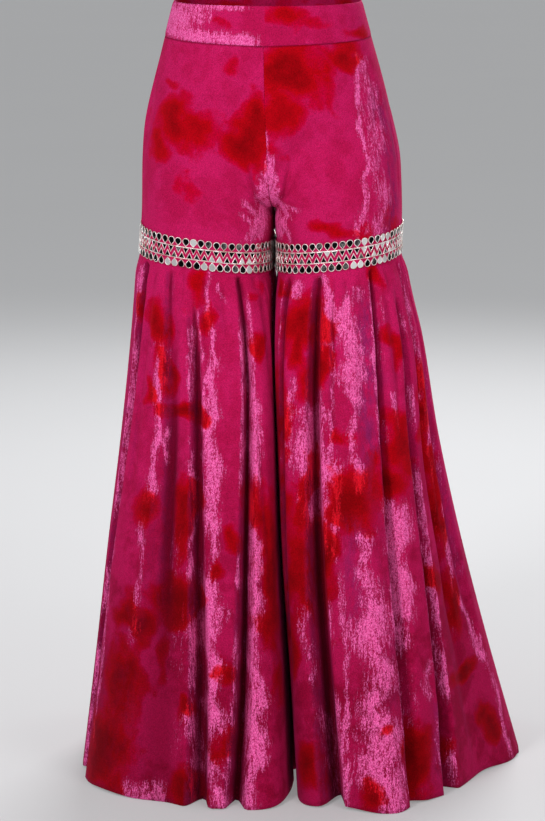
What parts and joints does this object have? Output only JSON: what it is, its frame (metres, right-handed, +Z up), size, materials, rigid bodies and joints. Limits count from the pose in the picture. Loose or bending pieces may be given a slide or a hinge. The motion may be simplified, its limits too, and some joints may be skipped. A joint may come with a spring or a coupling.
{
  "type": "gharara trousers, the lower garment of a gharara suit",
  "caption": "High-waisted velvet gharara trousers with fitted hips, a mirror-work band on each thigh and a wide pleated flare below it, in the hollow form they are worn in.",
  "frame": {"origin": "centre of the waist's top edge, where the wearer's waist holds the garment up", "axes": "+Z up, front towards -Y, the wearer's left towards +X"},
  "size_m": [0.576, 0.5012, 1],
  "materials": {
    "velvet": "crushed velvet, magenta pink with soft red tie-dye patches and a bright pink nap",
    "mirror_work": "small silvered mirrors in raised silver outlines on a velvet ground"
  },
  "bodies": {
    "root": {"waistband_front": "velvet", "waistband_back": "velvet", "hip_right_front": "velvet", "hip_right_back": "velvet", "hip_left_front": "velvet", "hip_left_back": "velvet", "flare_right_front": "velvet", "flare_right_back": "velvet", "flare_left_front": "velvet", "flare_left_back": "velvet", "trim_right": "mirror_work", "trim_left": "mirror_work"}
  },
  "joints": []
}
